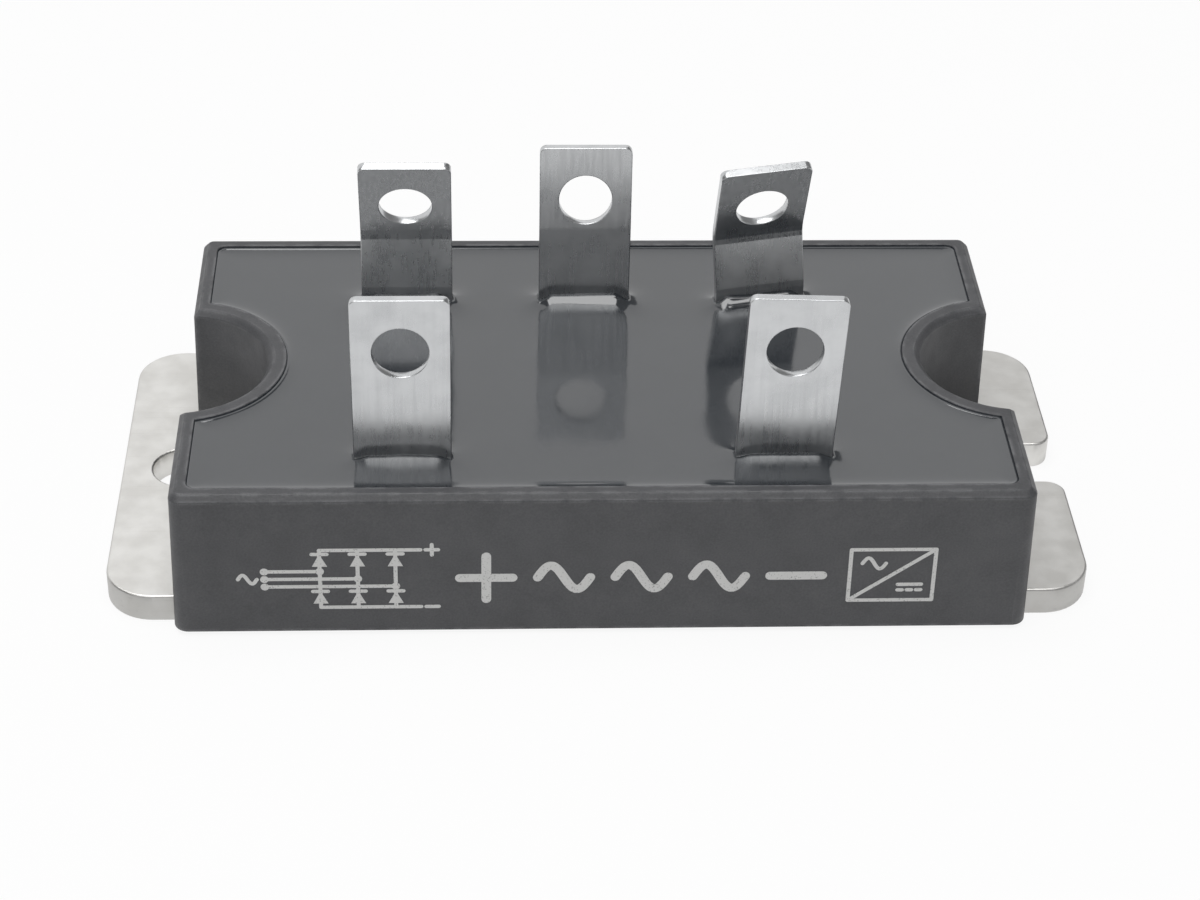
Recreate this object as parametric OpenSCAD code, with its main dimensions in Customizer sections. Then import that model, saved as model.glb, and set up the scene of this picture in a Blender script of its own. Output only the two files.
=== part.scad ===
// Three-phase bridge rectifier module: a potted case on a metal base plate,
// with six diode chips inside and five upright terminal tabs on top.
// Millimetres. X runs along the case, Y from front to back, Z up.
// The origin is the middle of the base plate's underside.

/* [Case] */
// Length of the case
case_l = 69; // [66:0.5:80]
// Width of the case
case_w = 40; // [38:0.5:50]
// Height of the case top above the mounting face
case_h = 13.5; // [12:0.5:20]
// Thickness of the case wall
wall = 1.6; // [1:0.1:1.8]
// Thickness of the skirt that covers the base plate's long edges
skirt_t = 1.9; // [1.2:0.1:2.5]
// Height of the skirt's lower edge above the mounting face
skirt_lift = 0.4; // [0.2:0.1:1]
// Radius of the screw recess in each end
recess_r = 7.5; // [5.5:0.1:8]
// Radius of the case's upright corners
case_corner_r = 1.2; // [1:0.1:3]
// Radius of the cavity's upright corners
cavity_corner_r = 0.8; // [0.3:0.1:2]
// Draft angle of the outer walls, in degrees
draft = 1.2; // [0.5:0.1:1.5]
// Chamfer round the top edge
rim_chamfer = 0.5; // [0.2:0.1:0.6]

/* [Base plate] */
// Thickness of the base plate
plate_t = 2.5; // [1.5:0.1:4]
// Gap between the base plate's edge and the skirt
plate_fit = 0.1; // [0.05:0.05:0.2]
// Corner radius of the base plate
plate_corner_r = 4; // [0.5:0.5:5]
// Diameter of the round fixing hole and width of the open slot
fixing_d = 5.5; // [4.3:0.1:6.5]
// Distance of each fixing point outside the case's end
fixing_out = 0.5; // [0:0.1:2]
// Distance from a fixing point to the end of its ear
ear_reach = 5.3; // [4.5:0.1:10]
// Radius of the prongs' tips at the open end of the fixing slot
mouth_r = 1.6; // [0.5:0.1:2.5]

/* [Potting] */
// Depth of the resin surface below the case rim
resin_drop = 0.35; // [0.1:0.05:1]
// Height of the border between silicone gel and resin
gel_top = 8; // [7.5:0.1:9.5]
// Height that the resin creeps up each tab
creep_h = 1.1; // [0.6:0.1:1.6]
// Distance that the resin creeps out from each tab
creep_w = 1.3; // [0.6:0.1:1.8]

/* [Terminals] */
// Distance of the front tabs from the front edge of the lands
front_inset = 2; // [0.6:0.1:3]
// Distance of the back tabs from the back edge of the lands
back_inset = 6.5; // [5:0.1:7]
// Width of a tab
tab_w = 7.8; // [6:0.1:9]
// Thickness of a tab
tab_t = 0.8; // [0.5:0.05:1]
// Height of a tab above the resin
tab_h = 15; // [13:0.1:22]
// Diameter of the hole in a tab
tab_hole_d = 4.5; // [3.2:0.1:5]
// Distance from the hole's centre to the end of the tab
hole_inset = 4.8; // [4:0.1:5.5]
// Flat margin between the hole and the bend below it
blade_margin = 0.35; // [0.2:0.05:1]
// Radius of the blade's upper corners
blade_corner_r = 0.6; // [0.2:0.1:1.2]
// Length of the soldered foot of a terminal
foot_l = 3; // [1.5:0.1:3.4]
// Bend radius at the foot, to the middle of the sheet
foot_bend_r = 1.2; // [0.8:0.1:1.4]
// Radius of the bends in the free part of a tab
free_bend_r = 3; // [2:0.5:5]

/* [Circuit] */
// Gap between the ceramic's ends and the case's screw recesses
ceramic_end_gap = 0.9; // [0.5:0.1:2]
// Gap between the ceramic's sides and the case wall
ceramic_side_gap = 1.9; // [0.5:0.1:2.5]
// Thickness of the ceramic substrate
ceramic_t = 0.6; // [0.3:0.05:1]
// Thickness of the copper under the ceramic
backing_t = 0.3; // [0.1:0.05:0.5]
// Bare margin round the copper under the ceramic
backing_margin = 0.8; // [0.3:0.1:1.5]
// Thickness of the copper lands
land_t = 0.3; // [0.1:0.05:0.5]
// Gap between the lands across the case
land_gap = 1.6; // [1:0.1:1.8]
// Gap between neighbouring lands along the case
column_gap = 1.25; // [0.8:0.05:1.6]
// Bare margin of the ceramic along its sides
land_margin = 0.5; // [0.3:0.1:0.8]
// Bare margin of the ceramic at its left end
left_margin = 2; // [1:0.1:3]
// Bare margin of the ceramic beside the collecting bar
bus_margin = 0.8; // [0.5:0.1:1.5]
// Edge length of a diode chip
chip_w = 5.5; // [4:0.1:5.6]
// Thickness of a diode chip
chip_t = 0.4; // [0.2:0.05:0.5]
// Distance of a chip from the edge of its land
chip_inset = 0.6; // [0.3:0.1:1]
// Sideways offset of a chip from its tab's middle line
chip_shift = 2.9; // [2.8:0.05:3.1]
// Width of the copper jumpers
jumper_w = 3; // [1.5:0.1:3.4]
// Thickness of the jumpers and of the collecting bar
strap_t = 0.4; // [0.2:0.05:0.5]
// Width of the collecting bar
bus_w = 2; // [1.5:0.1:2.4]
// Gap between the collecting bar and the plus land
bus_gap = 0.7; // [0.5:0.1:1.5]
// Length of the collecting bar's foot
bus_foot_l = 2.5; // [1.5:0.1:3]
// Bare rim of a land beside a foot
foot_margin = 1; // [0.5:0.1:1.5]

/* [Hidden] */

$fn = 64;
// How far a cutter reaches past what it cuts
over = 1;
// Overlap that joins two stretches of one strip
seam = 0.05;
// Largest angle between two edges of a bend
bend_cut = 12;
// How much flatter the crept resin is than a slope that would end level
creep_flatness = 1.4;

// Heights of the layers, from the mounting face up
backing_z = plate_t;
ceramic_z = backing_z + backing_t;
land_z = ceramic_z + ceramic_t;
chip_z = land_z + land_t;
strap_z = chip_z + chip_t;
resin_z = case_h - resin_drop;

// Base plate and fixing points
fixing_x = case_l / 2 + fixing_out;
plate_l = 2 * (fixing_x + ear_reach);
plate_w = case_w - 2 * (skirt_t + plate_fit);

// Ceramic and lands, from the case's inside inwards
ceramic_l = 2 * (fixing_x - recess_r - wall - ceramic_end_gap);
ceramic_w = case_w - 2 * (wall + ceramic_side_gap);
land_half_w = ceramic_w / 2 - land_margin;
land_mid = land_gap / 2;
land_l = (ceramic_l - left_margin - 2 * column_gap - bus_gap - bus_w - bus_margin) / 3;
tab_pitch = land_l + column_gap;
column_x = [for (i = [0:2]) -ceramic_l / 2 + left_margin + land_l / 2 + i * tab_pitch];
lands_right = column_x[2] + land_l / 2;
chip_row_y = land_mid + chip_inset + chip_w / 2;
plus_front_y = -chip_row_y - chip_w / 2 - chip_inset;
pad_half_l = tab_w / 2 + foot_margin;
pad_back_y = plus_front_y - land_gap;
bus_x = lands_right + bus_gap;
bus_end_y = pad_back_y - foot_margin - bus_foot_l;

// Each tab: [x, y, turn about its upright axis, side lean, lean at the root, lean at the blade].
// Leans are in degrees, backwards where positive. Tabs bend by hand in use,
// so each one stands a little differently.
front_row_y = front_inset - land_half_w;
back_row_y = land_half_w - back_inset;
PLUS = [column_x[0], front_row_y, 0, 0, 0, 0];
MINUS = [column_x[2], front_row_y, 0, 1.8, 0, 0];
INPUTS = [
    [column_x[0], back_row_y, 0, 0, 10, -30],
    [column_x[1], back_row_y, 0, 0, 0, 4],
    [column_x[2], back_row_y, 9, -2.5, 10, -32]
];
TABS = concat([PLUS, MINUS], INPUTS);

// The strip of a terminal, from its foot to the blade
blade_l = hole_inset + tab_hole_d / 2 + blade_margin;
riser_l = resin_z + creep_h - (chip_z + tab_t / 2 + foot_bend_r);

// Height that keeps the lower corner of a sideways leaning tab out of its collar
function lean_rise(tab) = tab_w / 2 * tan(abs(tab[3]));

// Length between a tab's two bends, which take up some of the strip
function shank_l(tab) =
    tab_h - creep_h - blade_l - lean_rise(tab) - (abs(tab[4]) + abs(tab[5])) * PI / 180 * free_bend_r;

// Jumpers: an arch whose far end stands one chip higher than its foot
jumper_lean = 60;
jumper_bend_r = 1.5 * strap_t;
jumper_rise = 1.75 * strap_t;
jumper_foot = 2.75 * strap_t;
jumper_drop = jumper_rise - chip_t / sin(jumper_lean);
jumper_start_y = land_mid + strap_t / 2 + jumper_foot;
jumper_run = 4 * jumper_bend_r * sin(jumper_lean) + (jumper_rise + jumper_drop) * cos(jumper_lean);
jumper_contact = chip_w * 0.6;
jumper_span = jumper_start_y - jumper_foot - jumper_run + chip_row_y - jumper_contact / 2;

// ---- shared shapes ----

module rounded_rect(l, w, r) {
    square([l - 2 * r, w], center = true);
    square([l, w - 2 * r], center = true);
    for (sx = [-1, 1], sy = [-1, 1])
        translate([sx * (l / 2 - r), sy * (w / 2 - r)]) circle(r);
}

// A sheet-metal strip seen from its edge. It is walked step by step, each step being
// [straight length, bend angle, bend radius]. A place on the way is [y, z, heading],
// where heading 0 goes up and a positive angle turns towards +Y.
function side_of(heading) = [cos(heading), -sin(heading)];

function go_straight(at, l) = [at[0] + l * sin(at[2]), at[1] + l * cos(at[2]), at[2]];

function go_round(at, angle, r) =
    let (turned = sign(angle) * r * (side_of(at[2]) - side_of(at[2] + angle)))
    [at[0] + turned[0], at[1] + turned[1], at[2] + angle];

function walk_on(steps, at, i = 0) =
    i == len(steps) ? [] :
    let (
        corner = go_straight(at, steps[i][0]),
        angle = steps[i][1],
        cuts = ceil(abs(angle) / bend_cut),
        round = [for (k = [1:1:cuts]) go_round(corner, angle * k / cuts, steps[i][2])]
    )
    concat([corner], round, walk_on(steps, cuts == 0 ? corner : round[cuts - 1], i + 1));

function walk(steps, start) = concat([start], walk_on(steps, start));

function tip(steps, start) = let (way = walk(steps, start)) way[len(way) - 1];

function edge_line(way, shift) = [for (p = way) [p[0], p[1]] + shift * side_of(p[2])];

function turned_back(line) = [for (i = [len(line) - 1:-1:0]) line[i]];

module strip(w, t, steps, start) {
    way = walk(steps, start);
    rotate([90, 0, 90])
        linear_extrude(height = w, center = true)
            polygon(concat(edge_line(way, t / 2), turned_back(edge_line(way, -t / 2))));
}

// ---- base plate ----

// What the rounding of one prong's tip takes away at the slot's open end
module slot_mouth() {
    translate([plate_l / 2 - mouth_r, fixing_d / 2])
        difference() {
            square([mouth_r + over, mouth_r]);
            translate([0, mouth_r]) circle(mouth_r);
        }
}

module base_plate() {
    color([0.84, 0.85, 0.83])
        linear_extrude(height = plate_t)
            difference() {
                rounded_rect(plate_l, plate_w, plate_corner_r);
                for (s = [-1, 1])
                    translate([s * fixing_x, 0]) circle(d = fixing_d);
                translate([fixing_x, -fixing_d / 2]) square([ear_reach + over, fixing_d]);
                for (side = [0, 1]) mirror([0, side]) slot_mouth();
            }
}

// ---- case ----

// The inside of the case, seen from above
module cavity() {
    difference() {
        rounded_rect(case_l - 2 * wall, case_w - 2 * wall, cavity_corner_r);
        for (s = [-1, 1])
            translate([s * fixing_x, 0]) circle(recess_r + wall);
    }
}

// A rounded block whose walls and corners all lean in on the way up
module tapered_block(l, w, h, r, lean) {
    inset = h * tan(lean);
    for (sx = [-1, 1], sy = [-1, 1])
        translate([sx * (l / 2 - r), sy * (w / 2 - r), 0]) cylinder(h = h, r1 = r, r2 = r - inset);
    rotate([90, 0, 90]) linear_extrude(height = l - 2 * r, center = true) tapered_side(w, h, inset);
    rotate([90, 0, 0]) linear_extrude(height = w - 2 * r, center = true) tapered_side(l, h, inset);
}

module tapered_side(w, h, inset) {
    polygon([[-w / 2, 0], [w / 2, 0], [w / 2 - inset, h], [-w / 2 + inset, h]]);
}

// The outside of the case: its drafted walls, cut by a steeper block that leaves the chamfer
module case_block() {
    h = case_h - skirt_lift;
    spread = (h - rim_chamfer) * (1 - tan(draft));
    translate([0, 0, skirt_lift])
        intersection() {
            tapered_block(case_l, case_w, h, case_corner_r, draft);
            tapered_block(case_l + 2 * spread, case_w + 2 * spread, h, case_corner_r + spread, 45);
        }
}

module case_shell() {
    color([0.16, 0.16, 0.17])
        difference() {
            case_block();
            translate([0, 0, -over]) linear_extrude(height = case_h + 2 * over) cavity();
            // seat over the base plate
            translate([-case_l / 2 - over, -plate_w / 2 - plate_fit, -over])
                cube([case_l + 2 * over, plate_w + 2 * plate_fit, plate_t + over]);
            // screw recesses
            for (s = [-1, 1]) translate([s * fixing_x, 0, 0]) {
                translate([0, 0, -over]) cylinder(h = case_h + 2 * over, r = recess_r);
                translate([0, 0, case_h - rim_chamfer])
                    cylinder(h = 2 * rim_chamfer, r1 = recess_r, r2 = recess_r + 2 * rim_chamfer);
            }
        }
}

// ---- potting ----

// The slot that a tab leaves in the resin
module tab_slot(tab) {
    place(tab) translate([-tab_w / 2, -tab_t / 2, gel_top - over]) cube([tab_w, tab_t, case_h]);
}

// Resin that has crept up round a tab: a collar with a hollow slope on each side
module creep_collar(tab) {
    slope_r = creep_flatness * (creep_w * creep_w + creep_h * creep_h) / (creep_w + creep_h);
    half_chord = sqrt(creep_w * creep_w + creep_h * creep_h) / 2;
    offset_out = sqrt(slope_r * slope_r - half_chord * half_chord);
    // centre of the slope, outwards from the tab's face and up from the resin
    out = creep_w / 2 + offset_out * creep_h / (2 * half_chord);
    lift = creep_h / 2 + offset_out * creep_w / (2 * half_chord);
    l = tab_w + 2 * creep_w;
    w = tab_t + 2 * creep_w;
    place(tab) translate([0, 0, resin_z])
        difference() {
            translate([-l / 2, -w / 2, -over / 2]) cube([l, w, creep_h + over / 2]);
            for (s = [-1, 1]) {
                translate([0, s * (tab_t / 2 + out), lift])
                    rotate([0, 90, 0]) cylinder(h = l + 2 * over, r = slope_r, center = true);
                translate([s * (tab_w / 2 + out), 0, lift])
                    rotate([90, 0, 0]) cylinder(h = w + 2 * over, r = slope_r, center = true);
            }
        }
}

module resin_fill() {
    color([0.2, 0.2, 0.21])
        difference() {
            union() {
                translate([0, 0, gel_top]) linear_extrude(height = resin_z - gel_top) cavity();
                for (tab = TABS) creep_collar(tab);
            }
            for (tab = TABS) tab_slot(tab);
        }
}

module silicone_gel() {
    color([0.75, 0.78, 0.8, 0.6])
        difference() {
            translate([0, 0, plate_t]) linear_extrude(height = gel_top - plate_t) cavity();
            copper_backing();
            ceramic_substrate();
            plus_land();
            minus_land();
            minus_bus();
            for (tab = TABS) terminal_root(tab);
            for (i = [0:2]) {
                input_land(i);
                upper_chip(i);
                lower_chip(i);
                jumper(i);
            }
        }
}

// ---- circuit ----

module copper_backing() {
    color([0.72, 0.45, 0.3])
        translate([-ceramic_l / 2 + backing_margin, -ceramic_w / 2 + backing_margin, backing_z])
            cube([ceramic_l - 2 * backing_margin, ceramic_w - 2 * backing_margin, backing_t]);
}

module ceramic_substrate() {
    color([0.93, 0.92, 0.88])
        translate([-ceramic_l / 2, -ceramic_w / 2, ceramic_z]) cube([ceramic_l, ceramic_w, ceramic_t]);
}

// A copper land from one corner to the other
module land(x1, y1, x2, y2) {
    color([0.72, 0.45, 0.3])
        translate([x1, y1, land_z]) cube([x2 - x1, y2 - y1, land_t]);
}

// The land that joins the three upper chips, with an arm to its terminal
module plus_land() {
    land(column_x[0] - land_l / 2, plus_front_y, lands_right, -land_mid);
    land(column_x[0] - pad_half_l, -land_half_w, column_x[0] + pad_half_l, plus_front_y + seam);
}

module minus_land() {
    land(column_x[2] - pad_half_l, -land_half_w, bus_x + bus_w, pad_back_y);
}

module input_land(i) {
    land(column_x[i] - land_l / 2, land_mid, column_x[i] + land_l / 2, land_half_w);
}

module chip(x, y) {
    color([0.35, 0.36, 0.4])
        translate([x - chip_w / 2, y - chip_w / 2, chip_z]) cube([chip_w, chip_w, chip_t]);
}

module upper_chip(i) {
    chip(column_x[i] + chip_shift, -chip_row_y);
}

module lower_chip(i) {
    chip(column_x[i] - chip_shift, chip_row_y);
}

// The arched strap from an input land to the chip above the plus land
module jumper(i) {
    color([0.78, 0.5, 0.34])
        translate([column_x[i] + chip_shift, 0, 0])
            strip(jumper_w, strap_t, [
                [jumper_foot, jumper_lean, jumper_bend_r],
                [jumper_rise, -jumper_lean, jumper_bend_r],
                [jumper_span, -jumper_lean, jumper_bend_r],
                [jumper_drop, jumper_lean, jumper_bend_r],
                [jumper_contact, 0, 0]
            ], [jumper_start_y, chip_z + strap_t / 2, -90]);
}

// The bar that joins the three lower chips and steps down to the minus land
module minus_bus() {
    bar_left = column_x[0] - chip_shift - chip_w / 3;
    color([0.78, 0.5, 0.34]) {
        translate([bar_left, chip_row_y - bus_w / 2, strap_z])
            cube([bus_x + bus_w - bar_left, bus_w, strap_t]);
        translate([bus_x, bus_end_y, strap_z])
            cube([bus_w, chip_row_y - bus_end_y, strap_t]);
        translate([bus_x, bus_end_y, chip_z]) cube([bus_w, bus_foot_l, chip_t + seam]);
    }
}

// ---- terminals ----

// Foot, bend and riser of a terminal, up to the top of the creep collar
root_steps = [[foot_l, 90, foot_bend_r], [riser_l, 0, 0]];
root_start = [foot_bend_r + foot_l, chip_z + tab_t / 2, -90];
collar_top = resin_z + creep_h;

module place(tab) {
    translate([tab[0], tab[1], 0]) rotate([0, 0, tab[2]]) children();
}

module terminal_root(tab) {
    place(tab) strip(tab_w, tab_t, root_steps, root_start);
}

// The hole and the rounded corners at the end of a blade
module blade_cuts() {
    translate([0, 0, -hole_inset]) rotate([90, 0, 0]) cylinder(h = 3 * tab_t, d = tab_hole_d, center = true);
    for (s = [-1, 1])
        translate([s * (tab_w / 2 - blade_corner_r), 0, -blade_corner_r])
            difference() {
                translate([s > 0 ? 0 : -2 * blade_corner_r, -tab_t, 0])
                    cube([2 * blade_corner_r, 2 * tab_t, 2 * blade_corner_r]);
                rotate([90, 0, 0]) cylinder(h = 3 * tab_t, r = blade_corner_r, center = true);
            }
}

// A strip that ends in a blade
module bladed_strip(steps, start) {
    end = tip(steps, start);
    difference() {
        strip(tab_w, tab_t, steps, start);
        translate([0, end[0], end[1]]) rotate([-end[2], 0, 0]) blade_cuts();
    }
}

module terminal(tab) {
    side_lean = tab[3];
    overlap_l = 2 * lean_rise(tab);
    free_steps = [[shank_l(tab), tab[5], free_bend_r], [blade_l, 0, 0]];
    color([0.78, 0.79, 0.8])
        if (side_lean == 0) {
            place(tab)
                bladed_strip(concat([root_steps[0], [riser_l, tab[4], free_bend_r]], free_steps), root_start);
        } else {
            terminal_root(tab);
            place(tab) translate([0, 0, collar_top + lean_rise(tab)]) rotate([0, side_lean, 0])
                bladed_strip(concat([[overlap_l, tab[4], free_bend_r]], free_steps), [0, -overlap_l, 0]);
        }
}

base_plate();
case_shell();
resin_fill();
silicone_gel();
copper_backing();
ceramic_substrate();
plus_land();
minus_land();
input_land(0);  // input_land_1
input_land(1);  // input_land_2
input_land(2);  // input_land_3
upper_chip(0);  // upper_chip_1
upper_chip(1);  // upper_chip_2
upper_chip(2);  // upper_chip_3
lower_chip(0);  // lower_chip_1
lower_chip(1);  // lower_chip_2
lower_chip(2);  // lower_chip_3
jumper(0);  // jumper_1
jumper(1);  // jumper_2
jumper(2);  // jumper_3
minus_bus();
terminal(PLUS);  // plus_terminal
terminal(MINUS);  // minus_terminal
terminal(INPUTS[0]);  // input_terminal_1
terminal(INPUTS[1]);  // input_terminal_2
terminal(INPUTS[2]);  // input_terminal_3
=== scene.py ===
"""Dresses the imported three-phase bridge rectifier module: plastic, resin and plated metal finishes,
the printed marks on its front, and the studio that it stands in. Everything is in metres."""

import math

import bmesh
import bpy
from mathutils import Matrix, Vector
from mathutils.bvhtree import BVHTree
from mathutils.geometry import delaunay_2d_cdt
from mathutils.noise import noise as noise_at


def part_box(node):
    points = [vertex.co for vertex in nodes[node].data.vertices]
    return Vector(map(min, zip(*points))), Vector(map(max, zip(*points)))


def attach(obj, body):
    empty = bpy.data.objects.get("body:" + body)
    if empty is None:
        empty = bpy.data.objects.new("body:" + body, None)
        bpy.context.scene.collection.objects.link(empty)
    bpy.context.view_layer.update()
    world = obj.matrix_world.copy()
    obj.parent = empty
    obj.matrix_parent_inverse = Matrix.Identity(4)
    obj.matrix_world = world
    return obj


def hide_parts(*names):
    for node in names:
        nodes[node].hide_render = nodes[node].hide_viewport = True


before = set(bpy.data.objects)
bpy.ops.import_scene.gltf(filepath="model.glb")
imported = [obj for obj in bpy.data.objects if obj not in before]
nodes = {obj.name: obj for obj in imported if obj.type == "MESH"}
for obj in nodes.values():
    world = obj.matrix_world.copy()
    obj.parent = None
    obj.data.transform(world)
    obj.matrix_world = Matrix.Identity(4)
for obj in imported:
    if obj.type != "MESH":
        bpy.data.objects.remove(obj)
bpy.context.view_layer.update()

MM = 0.001

# Camera: the angle, distance and offset at which the photograph was taken
CAMERA_AZIMUTH = -3.2      # degrees round the upright axis
CAMERA_ELEVATION = 35.0    # degrees above the floor
CAMERA_ROLL = 1.53         # degrees about the line of sight
CAMERA_DISTANCE = 243 * MM
CAMERA_OFFSET = (0.6 * MM, 3.3 * MM)   # to the right and up in the picture
CAMERA_LENS = 84           # mm
CAMERA_SENSOR = 36         # mm wide
CAMERA_CLIP = (0.01, 10)   # nearest and farthest that it sees

# Studio
FLOOR_SIZE = 4.0
PAPER_WHITE = 0.86
FLOOR_GLOW = 0.9           # share of the white that the paper gives by itself, seen directly
BACKDROP_GLOW = 1.0
BACKDROP_DISTANCE = 0.75
BACKDROP_HEIGHT = 1.5
BACKDROP_RIGHT = 0.26      # its right end; it runs far out to the left
SURROUND = 0.24            # grey of the room beyond the floor and the backdrop
LAMPS = {                  # azimuth and elevation as the camera's, distance, size, power
    "overhead": (-50, 83, 0.58, (0.55, 0.45), 2.7),
    "window": (-20, 40, 1.0, (0.85, 0.40), 1.5),
}

# Colours, linear; a material goes from the first to the second in small clouds
PLASTIC = (0.052, 0.053, 0.057), (0.075, 0.076, 0.081)
PLASTIC_WORN_AND_SHEEN = (0.085, 0.085, 0.087)   # added on its edges: rub wear and a painted edge highlight
RESIN = (0.012, 0.016, 0.021), (0.018, 0.022, 0.028)
TIN = (0.53, 0.54, 0.55), (0.63, 0.64, 0.65)
NICKEL = (0.68, 0.67, 0.645), (0.78, 0.772, 0.75)
NICKEL_EDGE_SHADE = (0.70, 0.70, 0.70)        # share of its colour left on the upright outer edges: painted shade
INK = (0.30, 0.30, 0.30), (0.62, 0.62, 0.61)
SILICONE = (0.55, 0.57, 0.58), (0.62, 0.64, 0.65)
ALUMINA = (0.78, 0.77, 0.74), (0.86, 0.85, 0.83)
WAFER = (0.10, 0.10, 0.12), (0.16, 0.16, 0.18)
COPPER = (0.72, 0.38, 0.25), (0.86, 0.50, 0.35)
BLACK, WHITE = (0, 0, 0), (1, 1, 1)

# Wear and painted edge highlight on the case's edges, and painted shade on the plate's upright edges
WEAR_AND_SHEEN_REACH = 0.5 * MM
WEAR_AND_SHEEN_GRAIN = 1.4 * MM
WEAR_AND_SHEEN_SAMPLES = 6
WEAR_AND_SHEEN_TURN = (0.998, 0.96)  # cosines of the turn of the normal at which the wear and painted edge highlight start and are full
HOLE_REACH = 4 * MM        # the plate's holes lie closer than this to its long middle line

# Rounding of the sharp edges
TINY_EDGE = 0.015 * MM     # edges shorter than this are joined first
FLAT_ANGLE = 0.3           # degrees; faces that meet at less are joined too
SHARP_ANGLE = 35           # degrees; edges sharper than this are rounded
EDGE_SEGMENTS = 2
CASE_EDGE = 0.09 * MM
PLATE_EDGE = 0.2 * MM
TAB_EDGE = 0.08 * MM

# Potting resin: the points of its surface
FINE_STEP = 0.25 * MM      # between points near a wall or a tab
COARSE_STEP = 4            # fine steps between the points elsewhere
FINE_REACH = 2.6 * MM
RING_REACH = 1.1 * MM      # up to here the points lie on even rings round the wall or tab
LEAST_GAP = 0.4 * FINE_STEP    # grid points nearer an outline than this are left out
RING_GAP = 0.3 * FINE_STEP     # least distance from the last ring to the grid beyond it
FENCE_HEIGHT = 1 * MM      # up and down, of the walls that distances are measured from
WELD = 1e-6                # vertices of a cut node closer than this are joined, in metres
SAME_POINT = 1e-7          # points of an outline closer than this are one, in metres

# Potting resin: how it climbs the walls and the tabs as it sets
WALL_CLIMB = 0.27 * MM
WALL_FADE = 0.45 * MM      # distance over which the climb falls to about a third
FRONT_CLIMB = 0.55 * MM    # on the front row of tabs; the case stood a little tilted
BACK_CLIMB = 1.15 * MM
TAB_FADE = 0.95 * MM
END_LOSS = 0.6             # of the climb at a tab's narrow ends
END_FADE = 1.3 * MM        # length of tab over which that loss sets in
UNEVENNESS = 0.25          # of the climb from place to place
UNEVEN_LENGTH = 3.5 * MM

# Printed marks on the front face
INK_THICKNESS = 0.02 * MM
INK_SUNK = 0.004 * MM
MARK_HEIGHT = 5.6 * MM     # of the marks' middle line above the floor
DISC_CORNERS = 14
WAVE_STEPS = 18
WAVE_HEIGHT = 0.28         # of a wave's length, from its middle line to its top
FRONT_FACING = -0.9        # a face looks forwards where its normal's y is below this
FRONT_REACH = 1 * MM       # and belongs to the front where it lies this close to it
SAME_MARK_POINT = 1e-5     # points of a mark closer than this are one, in millimetres


# ---------------------------------------------------------------- node helpers

def new_material(name):
    """An empty node material: its tree and its Principled shader."""
    made = bpy.data.materials.new(name)
    made.use_nodes = True
    return made, made.node_tree, made.node_tree.nodes["Principled BSDF"]


def coordinates(tree, stretch=(1, 1, 1), turn=(0, 0, 0)):
    """Object coordinates in metres, turned and stretched."""
    place = tree.nodes.new("ShaderNodeTexCoord")
    mapping = tree.nodes.new("ShaderNodeMapping")
    mapping.inputs["Rotation"].default_value = turn
    mapping.inputs["Scale"].default_value = stretch
    tree.links.new(place.outputs["Object"], mapping.inputs["Vector"])
    return mapping.outputs["Vector"]


def noise(tree, grain, detail=3.0, stretch=(1, 1, 1), turn=(0, 0, 0)):
    """Noise whose lumps are about grain across; stretch below 1 draws them out along an axis."""
    made = tree.nodes.new("ShaderNodeTexNoise")
    made.inputs["Scale"].default_value = 1 / grain
    made.inputs["Detail"].default_value = detail
    tree.links.new(coordinates(tree, stretch, turn), made.inputs["Vector"])
    return made.outputs["Fac"]


def remap(tree, value, source, target):
    """value's range source carried over to the range target."""
    made = tree.nodes.new("ShaderNodeMapRange")
    for socket, number in zip(("From Min", "From Max", "To Min", "To Max"), (*source, *target)):
        made.inputs[socket].default_value = number
    tree.links.new(value, made.inputs["Value"])
    return made.outputs["Result"]


def combine(tree, operation, first, second):
    """A Math node on two values, each a socket or a number."""
    made = tree.nodes.new("ShaderNodeMath")
    made.operation = operation
    for socket, value in zip(made.inputs, (first, second)):
        if isinstance(value, (int, float)):
            socket.default_value = value
        else:
            tree.links.new(value, socket)
    return made.outputs["Value"]


def tint(tree, factor, dark, light):
    """The colour between dark and light at factor."""
    made = tree.nodes.new("ShaderNodeMix")
    made.data_type = "RGBA"
    made.inputs["A"].default_value = (*dark, 1)
    made.inputs["B"].default_value = (*light, 1)
    tree.links.new(factor, made.inputs["Factor"])
    return made.outputs["Result"]


def blend(tree, way, first, second):
    """Two colours blended that way, such as ADD or MULTIPLY."""
    made = tree.nodes.new("ShaderNodeMix")
    made.data_type, made.blend_type = "RGBA", way
    made.inputs["Factor"].default_value = 1
    tree.links.new(first, made.inputs["A"])
    tree.links.new(second, made.inputs["B"])
    return made.outputs["Result"]


def bump(tree, shader, *layers):
    """Relief on the shader: each layer is a height and its depth in metres."""
    normal = None
    for height, depth in layers:
        made = tree.nodes.new("ShaderNodeBump")
        made.inputs["Distance"].default_value = depth
        tree.links.new(height, made.inputs["Height"])
        if normal:
            tree.links.new(normal, made.inputs["Normal"])
        normal = made.outputs["Normal"]
    tree.links.new(normal, shader.inputs["Normal"])


def edge_wear_and_sheen(tree, radius, grain):
    """From 0 to 1 within radius of a sharp edge, broken up by noise of that grain: the mask of rub
    wear and painted edge highlight.
    """
    rounded = tree.nodes.new("ShaderNodeBevel")
    rounded.samples = WEAR_AND_SHEEN_SAMPLES
    rounded.inputs["Radius"].default_value = radius
    surface = tree.nodes.new("ShaderNodeNewGeometry")
    match = tree.nodes.new("ShaderNodeVectorMath")
    match.operation = "DOT_PRODUCT"
    tree.links.new(rounded.outputs["Normal"], match.inputs[0])
    tree.links.new(surface.outputs["Normal"], match.inputs[1])
    near = remap(tree, match.outputs["Value"], WEAR_AND_SHEEN_TURN, (0, 1))
    patches = remap(tree, noise(tree, grain), (0.40, 0.55), (0, 1))
    return combine(tree, "MULTIPLY", near, patches)


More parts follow.
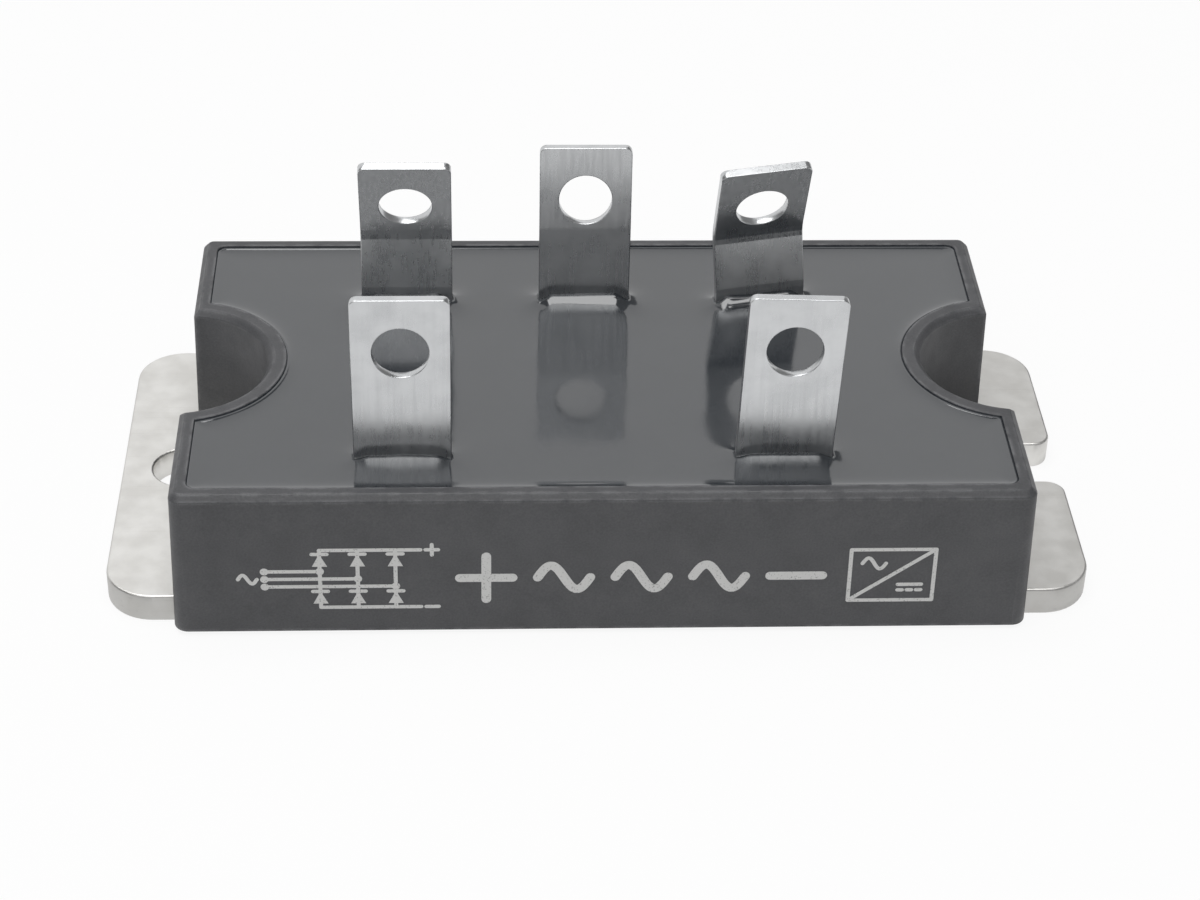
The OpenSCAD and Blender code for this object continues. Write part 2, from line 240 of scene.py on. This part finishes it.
def away_from_zero(tree, output, axis):
    """How far a texture coordinate lies from zero along one axis."""
    place = tree.nodes.new("ShaderNodeTexCoord")
    split = tree.nodes.new("ShaderNodeSeparateXYZ")
    tree.links.new(place.outputs[output], split.inputs["Vector"])
    return combine(tree, "ABSOLUTE", split.outputs[axis], 0)


def painted_edge_shade(tree, hole_reach):
    """1 on the upright faces of a plate, 0 on its level ones and on its holes' walls: where its
    painted edge shade goes.
    """
    upright = remap(tree, away_from_zero(tree, "Normal", "Z"), (0.35, 0.85), (1, 0))
    outer = remap(tree, away_from_zero(tree, "Object", "Y"), (hole_reach, 1.5 * hole_reach), (0, 1))
    return combine(tree, "MULTIPLY", upright, outer)


def clouded(tree, cloud, dark, light):
    """The colour between dark and light as a noise goes from its low parts to its high ones."""
    return tint(tree, remap(tree, cloud, (0.35, 0.65), (0, 1)), dark, light)


# ---------------------------------------------------------------- materials

def moulded_plastic():
    """Dark grey filled plastic with a spark-eroded grain, paler along its edges from rub wear and a
    painted edge highlight.
    """
    made, tree, shader = new_material("moulded_plastic")
    cloud = noise(tree, 4 * MM)
    grain = noise(tree, 0.16 * MM, detail=2)
    shade = remap(tree, combine(tree, "ADD", cloud, grain), (0.7, 1.3), (0, 1))
    colour = tint(tree, shade, *PLASTIC)
    # rub wear and a painted edge highlight: a paler colour added along the case's sharp edges
    worn_and_sheen = tint(tree, edge_wear_and_sheen(tree, WEAR_AND_SHEEN_REACH, WEAR_AND_SHEEN_GRAIN), BLACK, PLASTIC_WORN_AND_SHEEN)
    tree.links.new(blend(tree, "ADD", colour, worn_and_sheen), shader.inputs["Base Color"])
    tree.links.new(remap(tree, noise(tree, 1.2 * MM), (0.3, 0.7), (0.40, 0.52)),
                   shader.inputs["Roughness"])
    bump(tree, shader, (grain, 0.015 * MM), (cloud, 0.04 * MM))
    return made


def potting_resin():
    """Glossy poured resin, slightly wavy."""
    made, tree, shader = new_material("potting_resin")
    cloud = noise(tree, 7 * MM, detail=1)
    specks = noise(tree, 0.4 * MM, detail=2)
    tree.links.new(tint(tree, remap(tree, specks, (0.35, 0.7), (0, 1)), *RESIN),
                   shader.inputs["Base Color"])
    tree.links.new(remap(tree, noise(tree, 3 * MM), (0.3, 0.7), (0.07, 0.13)),
                   shader.inputs["Roughness"])
    shader.inputs["IOR"].default_value = 1.6
    shader.inputs["Specular IOR Level"].default_value = 1.0
    bump(tree, shader, (cloud, 0.05 * MM), (specks, 0.0015 * MM))
    return made


def plated_tab():
    """Tin plate on rolled copper strip: streaks along the strip, fingerprints' haze, soft dents."""
    made, tree, shader = new_material("plated_tab")
    streaks = noise(tree, 0.25 * MM, detail=2, stretch=(1, 1, 0.04))
    haze = noise(tree, 2.5 * MM)
    dents = noise(tree, 4 * MM, detail=0)
    shader.inputs["Metallic"].default_value = 1
    tree.links.new(clouded(tree, haze, *TIN), shader.inputs["Base Color"])
    rough = combine(tree, "ADD", remap(tree, haze, (0.3, 0.7), (0.22, 0.31)),
                    remap(tree, streaks, (0.4, 0.8), (0, 0.10)))
    tree.links.new(rough, shader.inputs["Roughness"])
    bump(tree, shader, (streaks, 0.0004 * MM), (dents, 0.03 * MM))
    return made


def nickel_plate():
    """The base plate: satin nickel with fine scratches, and painted shade darkening its upright outer
    edges.
    """
    made, tree, shader = new_material("nickel_plate")
    mottle = noise(tree, 2.2 * MM)
    grain = noise(tree, 0.15 * MM, detail=2)
    scratch = remap(tree, noise(tree, 0.22 * MM, detail=1, stretch=(0.03, 1, 1), turn=(0, 0, 0.5)),
                    (0.66, 0.72), (0, 1))
    shader.inputs["Metallic"].default_value = 1
    face = clouded(tree, mottle, *NICKEL)
    # painted shade: the plate's upright outer edges darkened to a share of the nickel's colour
    edge = tint(tree, painted_edge_shade(tree, HOLE_REACH), WHITE, NICKEL_EDGE_SHADE)
    tree.links.new(blend(tree, "MULTIPLY", face, edge), shader.inputs["Base Color"])
    rough = combine(tree, "ADD", remap(tree, mottle, (0.3, 0.7), (0.36, 0.48)),
                    combine(tree, "MULTIPLY", scratch, 0.12))
    tree.links.new(rough, shader.inputs["Roughness"])
    bump(tree, shader, (grain, 0.003 * MM), (scratch, -0.003 * MM))
    return made


def plain_finish(name, colours, rough, metallic=0.0):
    """A finish for the pieces inside: two close colours in clouds and an even gloss."""
    made, tree, shader = new_material(name)
    cloud = noise(tree, 1.5 * MM)
    shader.inputs["Metallic"].default_value = metallic
    tree.links.new(clouded(tree, cloud, *colours), shader.inputs["Base Color"])
    tree.links.new(remap(tree, cloud, (0.3, 0.7), (rough - 0.06, rough + 0.06)),
                   shader.inputs["Roughness"])
    bump(tree, shader, (cloud, 0.01 * MM))
    return made


def white_ink():
    """Pad-printed white ink with pinholes."""
    made, tree, shader = new_material("white_ink")
    pits = remap(tree, noise(tree, 0.14 * MM, detail=2), (0.30, 0.40), (0, 1))
    tree.links.new(tint(tree, pits, *INK), shader.inputs["Base Color"])
    tree.links.new(remap(tree, pits, (0, 1), (0.7, 0.5)), shader.inputs["Roughness"])
    bump(tree, shader, (pits, 0.006 * MM))
    return made


def dress(material, names):
    """Gives the CAD nodes this material."""
    for name in names:
        for slot in nodes[name].material_slots:
            slot.material = material


def soften(names, width):
    """Rounds the nodes' sharp edges with modifiers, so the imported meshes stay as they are."""
    for name in names:
        stack = nodes[name].modifiers
        stack.new("join", "WELD").merge_threshold = TINY_EDGE
        flat = stack.new("flat", "DECIMATE")
        flat.decimate_type, flat.angle_limit = "DISSOLVE", math.radians(FLAT_ANGLE)
        edge = stack.new("edge", "BEVEL")
        edge.width, edge.segments = width, EDGE_SEGMENTS
        edge.limit_method, edge.angle_limit = "ANGLE", math.radians(SHARP_ANGLE)
        edge.use_clamp_overlap, edge.loop_slide, edge.harden_normals = False, False, True


# ---------------------------------------------------------------- potting resin

def sides(loop):
    """The sides of a closed outline, each as its two ends."""
    return zip(loop, [*loop[1:], loop[0]])


def section_loops(name, height):
    """The outlines in which a CAD node meets a level plane, the longest first, as 2D points."""
    mesh = bmesh.new()
    mesh.from_mesh(nodes[name].data)
    bmesh.ops.remove_doubles(mesh, verts=mesh.verts, dist=WELD)
    cut = bmesh.ops.bisect_plane(mesh, geom=[*mesh.verts, *mesh.edges, *mesh.faces],
                                 dist=SAME_POINT, plane_co=(0, 0, height),
                                 plane_no=(0, 0, 1))["geom_cut"]
    links = {}
    for edge in cut:
        if isinstance(edge, bmesh.types.BMEdge):
            for a, b in (edge.verts, reversed(edge.verts)):
                links.setdefault(a, []).append(b)
    loops = []
    while links:
        start = at = next(iter(links))
        loop = []
        while at in links:
            loop.append(Vector(at.co[:2]))
            onward = links.pop(at)
            at = next((b for b in onward if b in links), start)
        loops.append(loop if turns_left(loop) else loop[::-1])
    mesh.free()
    return sorted(loops, key=lambda loop: -outline_length(loop))


def turns_left(loop):
    """Whether a closed outline runs anticlockwise."""
    return sum(a.x * b.y - b.x * a.y for a, b in sides(loop)) > 0


def outline_length(loop):
    """The length round a closed outline."""
    return sum((b - a).length for a, b in sides(loop))


def resampled(loop, step):
    """The closed outline with its long edges cut into steps."""
    points = []
    for a, b in sides(loop):
        count = max(1, round((b - a).length / step))
        points += [a.lerp(b, i / count) for i in range(count)]
    return points


def fence(loops):
    """A search tree of short upright walls on the outlines, to measure distances from."""
    points, walls = [], []
    for loop in loops:
        first = len(points)
        for p in loop:
            points += [(p.x, p.y, -FENCE_HEIGHT), (p.x, p.y, FENCE_HEIGHT)]
        for i in range(len(loop)):
            a, b = first + 2 * i, first + 2 * ((i + 1) % len(loop))
            walls.append((a, b, b + 1, a + 1))
    return BVHTree.FromPolygons(points, walls)


def foot(loop):
    """The middle of a tab's outline and half its width across the case."""
    xs, ys = [p.x for p in loop], [p.y for p in loop]
    return Vector((max(xs) + min(xs), max(ys) + min(ys))) / 2, (max(xs) - min(xs)) / 2


def clamped(value):
    """The value kept between 0 and 1."""
    return min(max(value, 0), 1)


def climb(p, outer, tabs, feet, rows, most):
    """How far above its level the resin stands at a point, by its distance from wall and tab."""
    place = Vector((p.x, p.y, 0))
    wall = outer.find_nearest(place)[3]
    tab = tabs.find_nearest(place)[3]
    share = clamped((p.y - rows[0]) / (rows[1] - rows[0]))
    height = FRONT_CLIMB + (BACK_CLIMB - FRONT_CLIMB) * share
    uneven = 1 + UNEVENNESS * noise_at(place / UNEVEN_LENGTH)
    middle, half = min(feet, key=lambda item: (item[0] - p).length)
    end = clamped((abs(p.x - middle.x) - half) / END_FADE + 1)
    loss = END_LOSS * end * end * (3 - 2 * end)
    height = min(height * uneven, most) * (1 - loss)
    return max(WALL_CLIMB * math.exp(-wall / WALL_FADE), height * math.exp(-tab / TAB_FADE))


def surface_points(outline, outer, tabs):
    """Grid points over the outline's box, close together near the walls and the tabs."""
    low = Vector((min(p.x for p in outline), min(p.y for p in outline)))
    high = Vector((max(p.x for p in outline), max(p.y for p in outline)))
    points = []
    for i in range(1, int((high.x - low.x) / FINE_STEP)):
        for j in range(1, int((high.y - low.y) / FINE_STEP)):
            p = low + Vector((i + 0.5 * (j % 2), j)) * FINE_STEP
            hits = [tree.find_nearest((p.x, p.y, 0)) for tree in (outer, tabs)]
            place, _, _, gap = min(hits, key=lambda hit: hit[3])
            coarse = i % COARSE_STEP == 0 and j % COARSE_STEP == 0
            if LEAST_GAP < gap < RING_REACH:
                ring = max(1, round(gap / FINE_STEP)) * FINE_STEP
                points.append(place.to_2d() + (p - place.to_2d()) * (ring / gap))
            elif gap > RING_REACH + RING_GAP and (gap < FINE_REACH or coarse):
                points.append(p)
    return points


def numbered(loops):
    """All the loops' points in one list, and each loop as the numbers of its points."""
    points, outlines = [], []
    for loop in loops:
        outlines.append(list(range(len(points), len(points) + len(loop))))
        points += [Vector(p) for p in loop]
    return points, outlines


def pour_resin(material):
    """The potting with its surface drawn up along the case's walls and round each tab."""
    low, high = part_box("resin_fill")
    half_way = (low[2] + high[2]) / 2
    loops = [resampled(loop, FINE_STEP) for loop in section_loops("resin_fill", half_way)]
    level = min(v.co.z for v in nodes["resin_fill"].data.vertices if v.co.z > half_way)
    outer, tabs = fence(loops[:1]), fence(loops[1:])
    points, outlines = numbered(loops)
    points += surface_points(loops[0], outer, tabs)
    flat, _, faces, _, _, owners = delaunay_2d_cdt(points, [], outlines, 1, SAME_POINT)
    faces = [face for face, owner in zip(faces, owners) if owner == [0]]
    rows = [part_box("plus_terminal")[0][1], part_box("input_terminal_2")[1][1]]
    feet, most = [foot(loop) for loop in loops[1:]], high[2] - level
    tops = [Vector((p.x, p.y, level + climb(p, outer, tabs, feet, rows, most))) for p in flat]
    bottoms = [Vector((p.x, p.y, low[2])) for p in flat]
    return closed_sheet("potting", tops, bottoms, faces, material)


def closed_sheet(name, tops, bottoms, faces, material):
    """A solid between two copies of the same faces, joined by a wall round every open edge."""
    count = len(tops)
    edges = {side for face in faces for side in sides(face)}
    walls = [(b, a, a + count, b + count) for a, b in edges if (b, a) not in edges]
    floor = [[i + count for i in reversed(face)] for face in faces]
    mesh = bpy.data.meshes.new(name)
    mesh.from_pydata([*tops, *bottoms], [], [*faces, *sorted(walls), *floor])
    mesh.polygons.foreach_set("use_smooth", [i < len(faces) for i in range(len(mesh.polygons))])
    mesh.materials.append(material)
    made = bpy.data.objects.new(name, mesh)
    bpy.context.scene.collection.objects.link(made)
    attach(made, "root")
    return made


# ---------------------------------------------------------------- printed marks

def disc(centre, radius):
    """A disc's outline."""
    step = math.tau / DISC_CORNERS
    return [(centre[0] + radius * math.cos(i * step), centre[1] + radius * math.sin(i * step))
            for i in range(DISC_CORNERS)]


def pen(points, width):
    """The outlines that a round pen of this width leaves along the points."""
    shapes = [disc(p, width / 2) for p in points]
    for (x0, y0), (x1, y1) in zip(points, points[1:]):
        length = math.hypot(x1 - x0, y1 - y0)
        nx, ny = -(y1 - y0) / length * width / 2, (x1 - x0) / length * width / 2
        shapes.append([(x0 + nx, y0 + ny), (x0 - nx, y0 - ny),
                       (x1 - nx, y1 - ny), (x1 + nx, y1 + ny)])
    return shapes


def plus(x, y, size, width):
    """A plus sign."""
    h = size / 2
    return pen([(x - h, y), (x + h, y)], width) + pen([(x, y - h), (x, y + h)], width)


def minus(x, y, size, width):
    """A minus sign."""
    return pen([(x - size / 2, y), (x + size / 2, y)], width)


def tilde(x, y, size, width):
    """One wave of alternating current."""
    points = []
    for i in range(WAVE_STEPS + 1):
        height = size * WAVE_HEIGHT * math.sin(math.tau * i / WAVE_STEPS)
        points.append((x - size / 2 + size * i / WAVE_STEPS, y + height))
    return pen(points, width)


def diode(x, y, size, width):
    """A diode that conducts upwards: a filled triangle and its bar."""
    h = size / 2
    triangle = [(x - h, y - h), (x + h, y - h), (x, y + h)]
    return [triangle] + pen([(x - h, y + h), (x + h, y + h)], width)


def bridge_diagram(x, y):
    """The circuit: three inputs at the left, each led to the middle of a pair of diodes that
    stand between two rails."""
    line, dot = 0.32, 0.34                  # the pen's width and the radius of a joint
    rail, diodes, taps = 2.8, 1.82, 0.74    # heights above the middle line
    size = 1.2                              # of a diode
    left, start, leg_step = x - 5.4, x - 1.0, 3.0
    legs = [start + i * leg_step for i in range(3)]
    rail_end, sign_at, sign_size = legs[-1] + 2.0, legs[-1] + 2.9, 1.0
    wave_at, wave_size = left - 1.35, 1.5
    shapes = []
    for side in (rail, -rail):
        shapes += pen([(legs[0], y + side), (rail_end, y + side)], line)
    for i, leg in enumerate(legs):
        tap = y + (1 - i) * taps
        shapes += pen([(leg, y - rail), (leg, y + rail)], line)
        shapes += diode(leg, y + diodes, size, line) + diode(leg, y - diodes, size, line)
        shapes += pen([(left, tap), (leg, tap)], line)
        shapes += [disc((leg, tap), dot), disc((left, tap), dot)]
    shapes += tilde(wave_at, y, wave_size, line)
    shapes += plus(sign_at, y + rail, sign_size, line)
    return shapes + minus(sign_at, y - rail, sign_size, line)


def terminal_signs(x, y):
    """The five terminals' signs in a row."""
    size, width, pitch = 4.2, 0.78, 6.2
    shapes = plus(x - 2 * pitch, y, size, width) + minus(x + 2 * pitch, y, size, width)
    for i in (-1, 0, 1):
        shapes += tilde(x + i * pitch, y, size, width)
    return shapes


def rectifier_box(x, y):
    """The standard sign of a rectifier: a box cut from corner to corner, AC above and DC below."""
    w, h, line = 3.4, 2.5, 0.32             # half the width and height, and the pen's width
    aside, sign = 1.5, 1.9                  # the signs' distance from the middle, and their size
    above, bar, dashes = 1.15, -0.95, -1.5  # heights of the wave and of the two DC lines
    dash, dash_step = 0.38, 0.75
    corners = [(x - w, y - h), (x + w, y - h), (x + w, y + h), (x - w, y + h), (x - w, y - h)]
    shapes = pen(corners, line) + pen([corners[0], corners[2]], line)
    shapes += tilde(x - aside, y + above, sign, line)
    shapes += minus(x + aside, y + bar, sign, line)
    for i in (-1, 0, 1):
        shapes += minus(x + aside + i * dash_step, y + dashes, dash, line)
    return shapes


def front_face():
    """A point and the normal of the case's largest face towards the front."""
    lowest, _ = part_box("case_shell")
    flat = {}
    for face in nodes["case_shell"].data.polygons:
        if face.normal.y < FRONT_FACING and face.center.y < lowest[1] + FRONT_REACH:
            key = tuple(round(v, 3) for v in face.normal)
            area, _ = flat.get(key, (0, None))
            flat[key] = (area + face.area, face.center.copy())
    normal, (_, point) = max(flat.items(), key=lambda item: item[1][0])
    return point, Vector(normal).normalized()


def print_marks(name, shapes, material):
    """Lays the shapes, drawn in millimetres across and up, on the front face as a thin print."""
    points, outlines = numbered(shapes)
    flat, _, faces, _, _, owners = delaunay_2d_cdt(points, [], outlines, 1, SAME_MARK_POINT)
    faces = [face for face, owner in zip(faces, owners) if owner]
    point, normal = front_face()
    up = (Vector((0, 0, 1)) - normal * normal.z).normalized()
    across = up.cross(normal)
    start = point - up * ((point.z - MARK_HEIGHT) / up.z)
    start -= across * start.x

    def on_face(p, height):
        return start + across * (p.x * MM) + up * (p.y * MM) + normal * height

    made = closed_sheet(name, [on_face(p, INK_THICKNESS) for p in flat],
                        [on_face(p, -INK_SUNK) for p in flat], faces, material)
    made.data.polygons.foreach_set("use_smooth", [False] * len(made.data.polygons))


# ---------------------------------------------------------------- studio

def seen_directly(tree):
    """1 on rays from the camera and on those that a shiny or clear surface sends on, else 0."""
    path = tree.nodes.new("ShaderNodeLightPath")
    either = combine(tree, "MAXIMUM", path.outputs["Is Camera Ray"], path.outputs["Is Glossy Ray"])
    return combine(tree, "MAXIMUM", either, path.outputs["Is Transmission Ray"])


def paper(name, share):
    """White paper. Seen directly, this share of its white is its own and even, and the rest is
    lit and keeps its shadow."""
    made = bpy.data.materials.new(name)
    made.use_nodes = True
    tree = made.node_tree
    tree.nodes.remove(tree.nodes["Principled BSDF"])
    diffuse = tree.nodes.new("ShaderNodeBsdfDiffuse")
    diffuse.inputs["Color"].default_value = (PAPER_WHITE, PAPER_WHITE, PAPER_WHITE, 1)
    glow = tree.nodes.new("ShaderNodeEmission")
    mix = tree.nodes.new("ShaderNodeMixShader")
    tree.links.new(combine(tree, "MULTIPLY", seen_directly(tree), share), mix.inputs["Fac"])
    tree.links.new(diffuse.outputs["BSDF"], mix.inputs[1])
    tree.links.new(glow.outputs["Emission"], mix.inputs[2])
    tree.links.new(mix.outputs["Shader"], tree.nodes["Material Output"].inputs["Surface"])
    return made


def sheet_of_paper(name, corners, material):
    """One flat stage piece."""
    mesh = bpy.data.meshes.new(name)
    mesh.from_pydata(corners, [], [range(len(corners))])
    mesh.materials.append(material)
    made = bpy.data.objects.new(name, mesh)
    bpy.context.scene.collection.objects.link(made)
    return made


def build_stage():
    """The floor, and a white backdrop behind the object that the camera itself doesn't see."""
    end = FLOOR_SIZE / 2
    sheet_of_paper("floor", [(-end, -end, 0), (end, -end, 0), (end, end, 0), (-end, end, 0)],
                   paper("floor_paper", FLOOR_GLOW))
    x, y, z = BACKDROP_RIGHT, BACKDROP_DISTANCE, BACKDROP_HEIGHT
    back = sheet_of_paper("backdrop", [(-end, y, 0), (x, y, 0), (x, y, z), (-end, y, z)],
                          paper("backdrop_paper", BACKDROP_GLOW))
    back.visible_camera = False


def build_world():
    """A room that is white to the camera and dim grey to everything else."""
    world = bpy.data.worlds.new("room")
    bpy.context.scene.world = world
    world.use_nodes = True
    tree = world.node_tree
    path = tree.nodes.new("ShaderNodeLightPath")
    grey = tint(tree, path.outputs["Is Camera Ray"], (SURROUND,) * 3, WHITE)
    tree.links.new(grey, tree.nodes["Background"].inputs["Color"])


def facing(azimuth, elevation):
    """The direction from the object towards that azimuth and elevation."""
    a, e = math.radians(azimuth), math.radians(elevation)
    return Vector((math.sin(a) * math.cos(e), -math.cos(a) * math.cos(e), math.sin(e)))


def build_lamp(name, azimuth, elevation, distance, size, power):
    """A soft rectangular lamp that faces the object."""
    data = bpy.data.lights.new(name, "AREA")
    data.shape, (data.size, data.size_y) = "RECTANGLE", size
    data.energy = power
    lamp = bpy.data.objects.new(name, data)
    towards = facing(azimuth, elevation)
    lamp.location = towards * distance
    lamp.rotation_euler = towards.to_track_quat("Z", "Y").to_euler()
    bpy.context.scene.collection.objects.link(lamp)


def build_camera():
    """The photograph's camera."""
    back = facing(CAMERA_AZIMUTH, CAMERA_ELEVATION)
    right = Vector((0, 0, 1)).cross(back).normalized()
    turn = Matrix.Rotation(math.radians(CAMERA_ROLL), 3, back)
    right, up = turn @ right, turn @ back.cross(right)
    data = bpy.data.cameras.new("camera")
    data.lens, data.sensor_width = CAMERA_LENS, CAMERA_SENSOR
    data.clip_start, data.clip_end = CAMERA_CLIP
    camera = bpy.data.objects.new("camera", data)
    place = back * CAMERA_DISTANCE + right * CAMERA_OFFSET[0] + up * CAMERA_OFFSET[1]
    axes = Matrix((right, up, back)).transposed()
    camera.matrix_world = Matrix.Translation(place) @ axes.to_4x4()
    bpy.context.scene.collection.objects.link(camera)
    bpy.context.scene.camera = camera


# ---------------------------------------------------------------- the scene

MARKS = (                  # each mark's piece, its drawing, and its middle across the face in mm
    ("circuit_print", bridge_diagram, -21.6),
    ("terminal_print", terminal_signs, 3.0),
    ("rectifier_print", rectifier_box, 23.1),
)

terminals = [name for name in nodes if "terminal" in name]
chips = [name for name in nodes if "_chip_" in name]
copper = [name for name in nodes
          if "_land" in name or "jumper" in name or name in ("minus_bus", "copper_backing")]

dress(moulded_plastic(), ["case_shell"])
resin = potting_resin()
dress(resin, ["resin_fill"])
dress(plated_tab(), terminals)
dress(nickel_plate(), ["base_plate"])
dress(plain_finish("silicone", SILICONE, 0.25), ["silicone_gel"])
dress(plain_finish("alumina", ALUMINA, 0.55), ["ceramic_substrate"])
dress(plain_finish("wafer", WAFER, 0.2, metallic=0.7), chips)
dress(plain_finish("bare_copper", COPPER, 0.3, metallic=1.0), copper)

soften(["case_shell"], CASE_EDGE)
soften(["base_plate"], PLATE_EDGE)
soften(terminals, TAB_EDGE)

potting = pour_resin(resin)
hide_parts("resin_fill")

ink = white_ink()
for name, draw, across in MARKS:
    print_marks(name, draw(across, 0), ink)

build_stage()
build_world()
for name, values in LAMPS.items():
    build_lamp(name, *values)
build_camera()
bpy.context.scene.view_settings.view_transform = "Standard"
